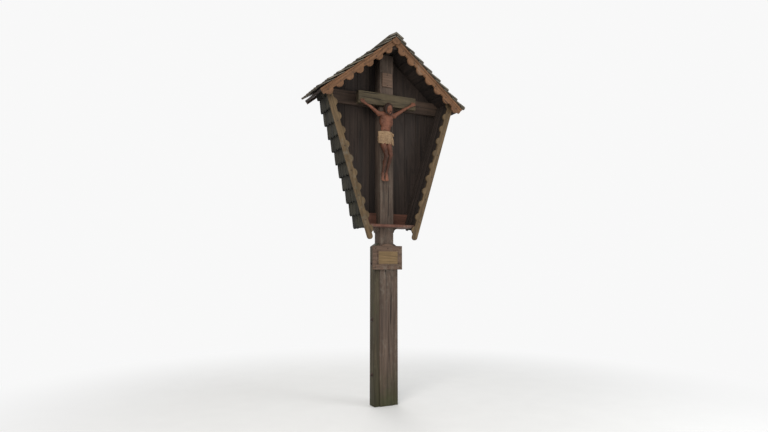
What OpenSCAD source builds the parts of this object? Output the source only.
// Timber wayside shrine: a post with a kite shaped, shingled housing under a gabled roof,
// and a carved figure on a cross inside it. The origin is the middle of the post's foot,
// +Z is up and the open front faces -Y. Left and right are as seen from the front.

/* [Post] */
// Width of the upright
post_w = 175; // [150:5:200]
// Depth of the upright
post_d = 140; // [130:5:170]
// Thickness of each cheek plank beside the upright
cheek_t = 60; // [40:5:80]
// How far a cheek plank stands back from the upright's front
cheek_setback = 10; // [5:1:20]
// Height of the cheek planks at their inner edge
cheek_h = 1815; // [1400:5:2200]
// Fall of a cheek plank's sloping top
cheek_fall = 40; // [10:5:60]

/* [Inscription board] */
// Width of the inscription board
board_w = 370; // [300:10:440]
// Height of the inscription board at its sides
board_h = 270; // [220:5:310]
// Distance from the cheek planks' top down to the board's crown
board_drop = 9; // [5:1:150]
// Thickness of the inscription board
board_t = 28; // [20:1:40]
// Rise of the raised middle of the board's top
board_crown = 24; // [12:2:40]
// Width of the frame left round the bare panel
board_frame = 65; // [50:5:80]
// How far the bare panel stands proud
panel_t = 10; // [6:1:14]

/* [Housing] */
// Height of the housing's underside above the cheek planks
neck_h = 175; // [120:5:220]
// Height of the housing from its underside to the top of the roof
housing_h = 2230; // [2150:5:2400]
// Half the width of the housing at its underside
floor_half_w = 305; // [290:5:350]
// Lean of the side walls from upright
wall_lean = 17.6; // [15:0.2:19]
// Distance of the side walls' front edge from the post's middle
housing_front = 200; // [190:5:240]
// Thickness of the side walls
wall_t = 28; // [20:1:36]
// Thickness of the floor
floor_t = 28; // [20:1:36]
// Thickness of the back boards
back_t = 25; // [18:1:32]
// Wanted width of a back board
back_board_w = 155; // [120:5:200]
// Gap between two back boards
back_gap = 3; // [2:0.5:6]
// Reach of a corbel beside the upright
corbel_reach = 55; // [40:5:80]
// Thickness of the rails behind the upright
rail_t = 40; // [25:5:45]
// Height of the bottom rail
bottom_rail_h = 143; // [100:1:180]
// Height of the top rail
top_rail_h = 160; // [120:5:180]
// How far the top rail's middle lies above the cross beam's middle
top_rail_rise = 12; // [0:2:20]

/* [Shingles] */
// Width of one shingle
shingle_w = 78; // [60:2:100]
// Thickness of one shingle
shingle_t = 20; // [12:1:22]
// Part of a shingle's length that shows
shingle_show = 150; // [120:5:180]
// Gap between two shingles of a course
shingle_gap = 4; // [3:0.5:8]
// How far the lowest side course hangs below the floor
shingle_hang = 10; // [4:2:40]

/* [Scalloped boards] */
// Distance between two teeth of the front trim
trim_pitch = 155; // [130:5:180]
// Width of the front trim outside the wall's outer face
trim_out = 46; // [40:1:60]
// Width of the front trim inside the wall's outer face, without its teeth
trim_in = 20; // [14:1:40]
// How far a tooth of the front trim stands out
trim_tooth = 30; // [20:1:40]
// How far the front trim's tail hangs below the floor
trim_tail = 140; // [80:5:160]
// Thickness of the front trim
trim_t = 25; // [18:1:32]
// Distance between two teeth of a verge board
verge_pitch = 150; // [120:5:170]
// Height of a front verge board without its teeth
verge_h = 68; // [56:2:100]
// Height of a plain rear verge board
rear_verge_h = 50; // [40:2:70]
// Thickness of a verge board
verge_t = 25; // [18:1:32]
// How far a tooth of a verge board stands out
verge_tooth = 40; // [30:1:50]

/* [Roof] */
// Half the width of the roof boards
roof_half_w = 905; // [880:5:980]
// Pitch of the roof
roof_pitch = 39; // [36:0.5:42]
// How far the roof boards reach forward of the front trim
front_reach = 45; // [20:5:70]
// Thickness of the roof boards
deck_t = 25; // [18:1:32]
// Distance of the rear verge's outer face from the post's middle
roof_back = 215; // [190:5:260]
// How far the covering stands past the boards under it
cover_over = 25; // [10:5:40]
// Thickness of the ridge cap
cap_t = 20; // [14:1:26]
// Length of each side of the ridge cap
cap_len = 115; // [90:5:140]
// Width of the block at the gable's point
apex_w = 120; // [90:5:150]
// Width of the ridge beam
ridge_w = 60; // [50:5:90]
// Height of the ridge beam
ridge_h = 100; // [80:5:130]

/* [Cross] */
// How far the cross beam reaches past the figure's fingertips
beam_past = 20; // [10:2:60]
// Height of the cross beam
beam_h = 145; // [120:5:160]
// Distance from the top of the roof down to the cross beam's middle
beam_drop = 745; // [700:5:790]
// Thickness of the cross beam
beam_t = 70; // [50:5:80]
// How far the beam stands proud of the upright
beam_proud = 30; // [20:1:40]
// Width of the bare title board
title_w = 130; // [100:5:160]
// Height of the bare title board
title_h = 165; // [130:5:180]
// Thickness of the title board
title_t = 20; // [12:1:26]
// Gap between the beam and the title board above it
title_gap = 90; // [40:5:110]

/* [Figure] */
// Height of the carved figure, from head to toes
figure_h = 900; // [840:10:930]

/* [Hidden] */
$fn = 48;

// Clearance of a piece that is let into another
fit = 0.5;
// Small bite by which fused shingles overlap
bite = 0.5;
// Length of a shingle in shares of the part that shows
shingle_share = 1.5;
// Radius of a tooth in shares of the teeth's distance
tooth_share = 0.36;

// Heights above the ground
floor_z = cheek_h + neck_h;
total_h = floor_z + housing_h;
beam_z = total_h - beam_drop;
board_z = cheek_h - board_drop - board_crown - board_h;

// Faces of the post, the beam and the back boards
post_front = -post_d / 2;
post_back = post_d / 2;
beam_front = post_front - beam_proud;
back_front = post_back;
back_rear = post_back + back_t;
beam_low = beam_z - beam_h / 2;

// How far the lower edge of a course stands off its plane, on the course below it
shingle_lift = shingle_t * shingle_share;

// Roof lines in the front plane. The covering's top at the ridge carries the cap.
eave_x = roof_half_w;
slope_len = eave_x / cos(roof_pitch);
cover_len = slope_len + cover_over;
roof_courses = round(cover_len / shingle_show);
roof_show = cover_len / roof_courses;
roof_cap_slope = roof_pitch - atan(shingle_t / roof_show);
// Height of the covering's top above the deck at the ridge, square to the deck
cover_at_ridge = shingle_t * (shingle_share - 1) + shingle_t;
cap_under = cover_at_ridge * (cos(roof_pitch) + sin(roof_pitch) * tan(roof_cap_slope)) + fit;
ridge_z = total_h - cap_under - cap_t / cos(roof_cap_slope);
under_ridge = ridge_z - deck_t / cos(roof_pitch);

// Front and rear planes
trim_front = housing_front + trim_t;
deck_front = trim_front + front_reach;
verge_front = deck_front + verge_t;
cover_front = verge_front + cover_over;
deck_back = roof_back - verge_t;
cover_back = roof_back + cover_over;
wall_top_z = floor_z + floor_t;

// Height of the roof boards' underside over a place x beside the middle
function roof_under(x) = under_ridge - abs(x) * tan(roof_pitch);
// Place of the wall's outer face at a height z, drawn in by a distance measured level
function wall_x(z, inset = 0) = floor_half_w - inset + (z - floor_z) * tan(wall_lean);
// Where that face meets the roof boards' underside
function meet_x(inset = 0) = (floor_half_w - inset + (under_ridge - floor_z) * tan(wall_lean))
  / (1 + tan(wall_lean) * tan(roof_pitch));
wall_inset = wall_t / cos(wall_lean);

// Length of the sloping side wall from the lowest course to the roof
side_low = floor_z - shingle_hang;
side_len = (roof_under(meet_x()) - side_low) / cos(wall_lean);
side_courses = ceil(side_len / shingle_show);

// How far a course stands off its plane at a distance s above its lower edge
function lift_at(s, show) = shingle_lift * (1 - s / (shingle_share * show)) + bite;

module mirrored(side) {
  mirror([side < 0 ? 1 : 0, 0, 0]) children();
}

// A flat outline drawn in the front plane, from y = front towards the rear
module upright_slab(front, depth) {
  translate([0, front + depth, 0]) rotate([90, 0, 0]) linear_extrude(depth) children();
}

// Post and its cheeks
module upright_post() {
  color("dimgray") difference() {
    translate([-post_w / 2, post_front, 0]) cube([post_w, post_d, under_ridge - ridge_h]);
    translate([-post_w, post_front - 1, beam_low - fit])
      cube([2 * post_w, beam_t - beam_proud + 1 + fit, beam_h + 2 * fit]);
    translate([-post_w, post_back - rail_t - fit, wall_top_z - fit])
      cube([2 * post_w, rail_t + 1 + fit, bottom_rail_h + 2 * fit]);
    translate([-post_w, post_back - rail_t - fit, top_rail_z - fit])
      cube([2 * post_w, rail_t + 1 + fit, top_rail_h + 2 * fit]);
  }
}

module cheek_plank(side) {
  mirrored(side) upright_slab(post_front + cheek_setback, post_d - cheek_setback)
    polygon([
      [post_w / 2, 0], [post_w / 2 + cheek_t, 0],
      [post_w / 2 + cheek_t, cheek_h - cheek_fall], [post_w / 2, cheek_h]
    ]);
}
module left_cheek_plank() { color("darkolivegreen") cheek_plank(-1); }
module right_cheek_plank() { color("dimgray") cheek_plank(1); }

// Inscription board with a low crown, and the bare panel on it
module board_outline() {
  crown_w = board_w / 3;
  translate([-board_w / 2, board_z]) square([board_w, board_h]);
  intersection() {
    translate([0, board_z + board_h + board_crown - crown_w]) circle(r = crown_w);
    translate([-crown_w, board_z + board_h / 2]) square([2 * crown_w, board_h]);
  }
}
module inscription_board() {
  color("rosybrown") upright_slab(post_front - board_t, board_t) board_outline();
}
module inscription_panel() {
  color("peru") upright_slab(post_front - board_t - panel_t, panel_t)
    translate([board_frame - board_w / 2, board_z + board_frame])
      square([board_w - 2 * board_frame, board_h - 2 * board_frame]);
}

// Quarter round corbels under the floor
module corbel(side) {
  mirrored(side) upright_slab(post_front + cheek_setback, post_d - cheek_setback) difference() {
    translate([post_w / 2, floor_z - corbel_reach]) square(corbel_reach);
    translate([post_w / 2 + corbel_reach, floor_z - corbel_reach])
      circle(r = corbel_reach * 0.8);
  }
}
module left_corbel() { color("dimgray") corbel(-1); }
module right_corbel() { color("dimgray") corbel(1); }

// Housing: floor, slanting walls and back boards
module housing_floor() {
  low = wall_x(floor_z);
  high = wall_x(wall_top_z);
  color("sienna") difference() {
    upright_slab(-housing_front, housing_front + back_front)
      polygon([[-low, floor_z], [low, floor_z], [high, wall_top_z], [-high, wall_top_z]]);
    translate([-post_w / 2 - fit, post_front - fit, floor_z - 1])
      cube([post_w + 2 * fit, post_d + 2 * fit, floor_t + 2]);
  }
}

module side_wall(side) {
  outer_x = meet_x();
  inner_x = meet_x(wall_inset);
  mirrored(side) upright_slab(-housing_front, housing_front + back_front)
    polygon([
      [wall_x(wall_top_z), wall_top_z], [outer_x, roof_under(outer_x)],
      [inner_x, roof_under(inner_x)], [wall_x(wall_top_z, wall_inset), wall_top_z]
    ]);
}
module left_side_wall() { color("saddlebrown") side_wall(-1); }
module right_side_wall() { color("saddlebrown") side_wall(1); }

module housing_outline() {
  low = wall_x(floor_z);
  high = meet_x();
  difference() {
    polygon([
      [-low, floor_z], [low, floor_z], [high, roof_under(high)],
      [0, under_ridge], [-high, roof_under(high)]
    ]);
    translate([-ridge_w / 2 - fit, under_ridge - ridge_h - fit])
      square([ridge_w + 2 * fit, ridge_h + 1]);
  }
}
module back_boards() {
  whole_w = 2 * meet_x();
  count = round(whole_w / back_board_w);
  pitch = whole_w / count;
  color("saddlebrown") for (i = [0:count - 1])
    upright_slab(back_front, back_t) intersection() {
      housing_outline();
      translate([i * pitch - whole_w / 2 + back_gap / 2, floor_z])
        square([pitch - back_gap, total_h - floor_z]);
    }
}

// Rails behind the upright, from wall to wall
top_rail_z = beam_z + top_rail_rise - top_rail_h / 2;
module rail(z, h) {
  low = wall_x(z, wall_inset) - fit;
  high = wall_x(z + h, wall_inset) - fit;
  eave_under = roof_under(eave_x) - fit;
  upright_slab(post_back - rail_t, rail_t) intersection() {
    polygon([[-low, z], [low, z], [high, z + h], [-high, z + h]]);
    polygon([
      [-eave_x, floor_z], [eave_x, floor_z], [eave_x, eave_under], [0, under_ridge - fit],
      [-eave_x, eave_under]
    ]);
  }
}
module bottom_rail() { color("brown") rail(wall_top_z, bottom_rail_h); }
module top_rail() { color("brown") rail(top_rail_z, top_rail_h); }

// Cross beam and title board
module cross_beam() {
  color("olive") translate([-beam_half, beam_front, beam_low]) cube([2 * beam_half, beam_t, beam_h]);
}
module title_board() {
  color("peru") translate([-title_w / 2, post_front - title_t, beam_z + beam_h / 2 + title_gap])
    cube([title_w, title_t, title_h]);
}

// Everything on one side that lies under the roof boards and above a height z
module under_roof(z) {
  polygon([[0, z], [eave_x, z], [eave_x, roof_under(eave_x)], [0, under_ridge]]);
}

// Shingles. A course is a row of round ended boards, drawn upright from its lower edge.
module course_outline(front, back, len, shifted) {
  step = (front + back) / round((front + back) / shingle_w);
  radius = (step - shingle_gap) / 2;
  intersection() {
    union() for (i = [-1:round((front + back) / step)])
      translate([-front + (i + (shifted ? 0.5 : 0)) * step + step / 2, 0]) {
        translate([0, radius]) circle(r = radius);
        translate([-radius, radius]) square([2 * radius, len - radius]);
      }
    translate([-front, -1]) square([front + back, len + 1]);
  }
}

// Courses on a plane: Z runs up the plane, X stands out of it
module shingle_field(front, back, courses, show, whole_len) {
  tilt = atan(shingle_t / show);
  for (i = [0:courses - 1])
    translate([shingle_lift, 0, i * show]) rotate([0, -tilt, 0]) rotate([90, 0, 90])
      linear_extrude(shingle_t + bite)
        course_outline(front, back, min(shingle_share * show, whole_len - i * show), i % 2 == 1);
  // Packing strip behind the lowest course, which would else stand off the wall
  strip_low = shingle_w / 2;
  strip_high = 0.8 * shingle_share * show;
  translate([0, back, 0]) rotate([90, 0, 0]) linear_extrude(front + back)
    polygon([
      [0, strip_low], [lift_at(strip_low, show), strip_low],
      [lift_at(strip_high, show), strip_high], [0, strip_high]
    ]);
}

module side_shingles(side) {
  mirrored(side) intersection() {
    translate([wall_x(side_low), 0, side_low]) rotate([0, wall_lean, 0])
      shingle_field(housing_front, back_rear, side_courses, shingle_show, side_len + shingle_show);
    upright_slab(-housing_front - 1, housing_front + back_rear + 2) under_roof(side_low - 1);
  }
}
module left_side_shingles() { color("darkslategray") side_shingles(-1); }
module right_side_shingles() { color("darkslategray") side_shingles(1); }

// Roof boards, mitred at the ridge
module roof_deck(side) {
  eave_z = ridge_z - slope_len * sin(roof_pitch);
  mirrored(side) upright_slab(-deck_front, deck_front + deck_back)
    polygon([
      [0, under_ridge],
      [eave_x - deck_t * sin(roof_pitch), eave_z - deck_t * cos(roof_pitch)],
      [eave_x, eave_z], [0, ridge_z]
    ]);
}
module left_roof_deck() { color("saddlebrown") roof_deck(-1); }
module right_roof_deck() { color("saddlebrown") roof_deck(1); }

module roof_shingles(side) {
  mirrored(side)
    translate([cover_len * cos(roof_pitch), 0, ridge_z - cover_len * sin(roof_pitch)])
      rotate([0, roof_pitch - 90, 0])
        shingle_field(cover_front, cover_back, roof_courses, roof_show, cover_len);
}
module left_roof_shingles() { color("darkolivegreen") roof_shingles(-1); }
module right_roof_shingles() { color("darkolivegreen") roof_shingles(1); }

module ridge_beam() {
  half = ridge_w / 2;
  color("saddlebrown") upright_slab(-deck_front, deck_front + deck_back)
    polygon([
      [-half, under_ridge - ridge_h], [half, under_ridge - ridge_h],
      [half, roof_under(half)], [0, under_ridge], [-half, roof_under(half)]
    ]);
}

module ridge_cap() {
  top = total_h;
  under = total_h - cap_t / cos(roof_cap_slope);
  run = cap_len * cos(roof_cap_slope);
  fall = cap_len * sin(roof_cap_slope);
  edge_x = cap_t * sin(roof_cap_slope);
  edge_z = cap_t * cos(roof_cap_slope);
  color("darkolivegreen") upright_slab(-cover_front, cover_front + cover_back)
    polygon([
      [0, top], [-run, top - fall], [edge_x - run, top - fall - edge_z], [0, under],
      [run - edge_x, top - fall - edge_z], [run, top - fall]
    ]);
}

// A row of round teeth on the edge y = 0 of a board that lies above it, board_h high
module teeth(first, last, pitch, out, board_h) {
  radius = min(pitch * tooth_share, (board_h + out) / 2 - bite);
  count = floor((last - first) / pitch);
  for (i = [0:count - 1])
    translate([first + (i + 0.5) * (last - first) / count, radius - out]) circle(r = radius);
}

// Verge boards: drawn level with the ridge at the origin, cut upright there, then sloped
module verge(side, front, board_h) {
  mirrored(side) upright_slab(front, verge_t) translate([0, ridge_z]) rotate(-roof_pitch) {
    polygon([
      [board_h * tan(roof_pitch), -board_h], [slope_len, -board_h], [slope_len, 0], [0, 0]
    ]);
    translate([0, -board_h]) children();
  }
}
module front_verge(side) {
  tooth_start = (verge_h + verge_tooth) * tan(roof_pitch);
  verge(side, -verge_front, verge_h)
    teeth(tooth_start, slope_len, verge_pitch, verge_tooth, verge_h);
}
module left_front_verge() { color("peru") front_verge(-1); }
module right_front_verge() { color("peru") front_verge(1); }
module left_rear_verge() { color("sienna") verge(-1, deck_back, rear_verge_h); }
module right_rear_verge() { color("sienna") verge(1, deck_back, rear_verge_h); }

// Block over the joint of the front verge boards
module apex_block() {
  half = apex_w / 2;
  shoulder_z = ridge_z - half * tan(roof_pitch);
  foot_z = ridge_z - verge_h / cos(roof_pitch);
  color("sienna") upright_slab(-cover_front, cover_over)
    polygon([
      [-half / 2, foot_z], [half / 2, foot_z], [half, shoulder_z], [0, ridge_z],
      [-half, shoulder_z]
    ]);
}

// Front trim: teeth point into the opening, and the round tail hangs below the floor
module front_trim(side) {
  low_z = floor_z - trim_tail;
  trim_w = trim_in + trim_out;
  len = (roof_under(meet_x()) - low_z) / cos(wall_lean) + trim_w;
  mirrored(side) intersection() {
    translate([wall_x(low_z), trim_t - trim_front, low_z]) rotate([0, wall_lean, 0])
      rotate([90, 0, 0]) linear_extrude(trim_t) translate([-trim_in, 0]) {
        translate([trim_w / 2, trim_w / 2]) circle(d = trim_w);
        translate([0, trim_w / 2]) square([trim_w, len]);
        mirror([1, -1, 0]) teeth(trim_w / 2, len, trim_pitch, trim_tooth, trim_w);
      }
    upright_slab(-trim_front - 1, trim_t + 2) under_roof(low_z - trim_w);
  }
}
module left_front_trim() { color("darkkhaki") front_trim(-1); }
module right_front_trim() { color("darkkhaki") front_trim(1); }

// Carved figure. Its unit is the height of its head. Its back lies on the upright and
// its hands on the beam. Places count out from there and down from the beam's middle.
head_u = figure_h / 7.5;
function on_post(x, out, down) = [x * head_u, post_front - out * head_u, beam_z - down * head_u];
function on_beam(x, out, down) = [x * head_u, beam_front - out * head_u, beam_z - down * head_u];

// The body sways to the left. These are the places of its middle line, in heads.
head_x = -0.18;
chest_x = -0.25;
hip_x = -0.45;
knee_x = -0.2;
foot_x = -0.38;
shoulder_w = 0.82;
waist_z = beam_z - 3.2 * head_u;
cloth_low_z = beam_z - 4.35 * head_u;

function shoulder(side) = on_post(chest_x + side * shoulder_w, 0.5, 1.54);
// Elbow, wrist, palm and fingertips. The left arm hangs lower than the right one.
arm_left = [
  on_beam(-1.92, 0.21, 0.96), on_beam(-2.42, 0.14, 0.68), on_beam(-2.68, 0.09, 0.5),
  on_beam(-2.95, 0.1, 0.36)
];
arm_right = [
  on_beam(1.66, 0.21, 0.78), on_beam(2.4, 0.14, 0.32), on_beam(2.68, 0.09, 0.16),
  on_beam(2.95, 0.1, 0.02)
];
beam_half = 2.95 * head_u + beam_past;

module ball(at, r) {
  translate(at) sphere(r = r * head_u, $fn = 16);
}
module oval(at, size) {
  translate(at) scale(size * head_u) sphere(r = 1, $fn = 20);
}
module cross_solid() {
  translate([-post_w / 2, post_front, 0]) cube([post_w, post_d, total_h]);
  translate([-2 * beam_half, beam_front, beam_low]) cube([4 * beam_half, beam_t, beam_h]);
}
// A box round a middle line x, from a height z, half_w wide to each side
module figure_box(x, z, h, half_w = 3) {
  translate([(x - half_w) * head_u, -4 * head_u, z]) cube([2 * half_w * head_u, 8 * head_u, h]);
}

module torso_form() {
  hull() {
    oval(on_post(chest_x, 0.48, 1.95), [0.73, 0.46, 0.58]);
    oval(on_post(chest_x, 0.4, 2.7), [0.58, 0.38, 0.5]);
  }
  hull() {
    oval(on_post(chest_x, 0.4, 2.7), [0.55, 0.36, 0.42]);
    oval(on_post(hip_x, 0.42, 3.7), [0.57, 0.38, 0.5]);
  }
  hull() {
    ball(shoulder(-1), 0.3);
    ball(shoulder(1), 0.3);
    oval(on_post(chest_x, 0.46, 1.8), [0.5, 0.36, 0.33]);
  }
  hull() {
    ball(on_post(chest_x, 0.52, 1.5), 0.27);
    ball(on_post(head_x, 0.65, 1.06), 0.22);
  }
}
module figure_torso() {
  color("rosybrown") intersection() {
    difference() {
      torso_form();
      cross_solid();
    }
    figure_box(chest_x, waist_z, 3 * head_u, shoulder_w);
  }
}

// The head leans forward and to the left. Its parts are placed in heads round its middle.
module head_form() {
  translate(on_post(head_x, 0.77, 1)) rotate([18, -10, 0]) {
    hull() {
      oval([0, 0.07, 0.12] * head_u, [0.39, 0.45, 0.4]);
      oval([0, -0.1, -0.25] * head_u, [0.25, 0.28, 0.25]);
    }
    hull() {
      oval([0, 0.15, 0.08] * head_u, [0.43, 0.42, 0.43]);
      oval([0, 0.22, -0.43] * head_u, [0.38, 0.25, 0.25]);
    }
    hull() {
      oval([0, -0.23, -0.33] * head_u, [0.22, 0.2, 0.18]);
      oval([0, -0.25, -0.55] * head_u, [0.12, 0.12, 0.13]);
    }
    hull() {
      ball([0, -0.37, 0.07] * head_u, 0.04);
      ball([0, -0.43, -0.12] * head_u, 0.065);
    }
  }
}
module figure_head() {
  color("sienna") difference() {
    head_form();
    torso_form();
    cross_solid();
  }
}

module figure_loincloth() {
  knot_x = hip_x + 0.8;
  color("khaki") difference() {
    union() {
      hull() {
        oval(on_post(hip_x, 0.42, 3.3), [0.65, 0.45, 0.22]);
        oval(on_post(hip_x, 0.43, 3.7), [0.77, 0.52, 0.33]);
        oval(on_post(hip_x, 0.52, 4.2), [0.75, 0.52, 0.3]);
      }
      hull() {
        ball(on_post(knot_x, 0.4, 3.45), 0.2);
        ball(on_post(knot_x + 0.12, 0.36, 4.4), 0.14);
      }
    }
    cross_solid();
    figure_box(hip_x, waist_z, head_u);
    figure_box(hip_x, cloth_low_z - head_u, head_u, 0.78);
  }
}

module leg_form(side) {
  hip = on_post(hip_x + side * 0.34, 0.46, 3.9);
  knee = on_post(knee_x + side * 0.29, 0.82, 5.55);
  calf = on_post(knee_x - 0.06 + side * 0.28, 0.55, 6.3);
  ankle = on_post(foot_x + side * 0.24, 0.28, 7.25);
  toe = on_post(foot_x + side * 0.27, 0.38, 8);
  hull() {
    ball(hip, 0.38);
    ball(knee, 0.28);
  }
  hull() {
    ball(knee, 0.265);
    ball(calf, 0.275);
  }
  hull() {
    ball(calf, 0.275);
    ball(ankle, 0.16);
  }
  hull() {
    ball(ankle, 0.165);
    ball(toe + [0.1 * head_u, 0, 0], 0.1);
    ball(toe - [0.1 * head_u, 0, 0], 0.1);
  }
}
// The legs meet on the body's middle line. Above it ends at the cloth's lower edge.
module figure_leg(side) {
  outer = side * 2 * head_u;
  color("rosybrown") intersection() {
    difference() {
      leg_form(side);
      cross_solid();
    }
    upright_slab(-4 * head_u, 5 * head_u)
      polygon([
        [hip_x * head_u, cloth_low_z], [knee_x * head_u, beam_z - 5.55 * head_u],
        [foot_x * head_u, beam_z - 7.25 * head_u], [foot_x * head_u, beam_z - 9 * head_u],
        [outer, beam_z - 9 * head_u], [outer, cloth_low_z]
      ]);
  }
}
module figure_left_leg() { figure_leg(-1); }
module figure_right_leg() { figure_leg(1); }

module figure_arm(side, arm) {
  color("rosybrown") difference() {
    union() {
      hull() {
        ball(shoulder(side), 0.28);
        ball(arm[0], 0.19);
      }
      hull() {
        ball(arm[0], 0.19);
        ball(arm[1], 0.13);
      }
      hull() {
        ball(arm[1], 0.125);
        ball(arm[2] - [0, 0, 0.1 * head_u], 0.1);
        ball(arm[2] + [side * 0.05 * head_u, 0, 0.12 * head_u], 0.1);
        ball(arm[3], 0.085);
      }
    }
    cross_solid();
    figure_box(chest_x, shoulder(side)[2] - 2 * head_u, 4 * head_u, shoulder_w);
  }
}
module figure_left_arm() { figure_arm(-1, arm_left); }
module figure_right_arm() { figure_arm(1, arm_right); }

upright_post();
left_cheek_plank();
right_cheek_plank();
inscription_board();
inscription_panel();
left_corbel();
right_corbel();
housing_floor();
left_side_wall();
right_side_wall();
left_side_shingles();
right_side_shingles();
left_front_trim();
right_front_trim();
back_boards();
bottom_rail();
top_rail();
cross_beam();
title_board();
ridge_beam();
left_roof_deck();
right_roof_deck();
left_roof_shingles();
right_roof_shingles();
left_front_verge();
right_front_verge();
left_rear_verge();
right_rear_verge();
ridge_cap();
apex_block();
figure_head();
figure_torso();
figure_loincloth();
figure_left_arm();
figure_right_arm();
figure_left_leg();
figure_right_leg();
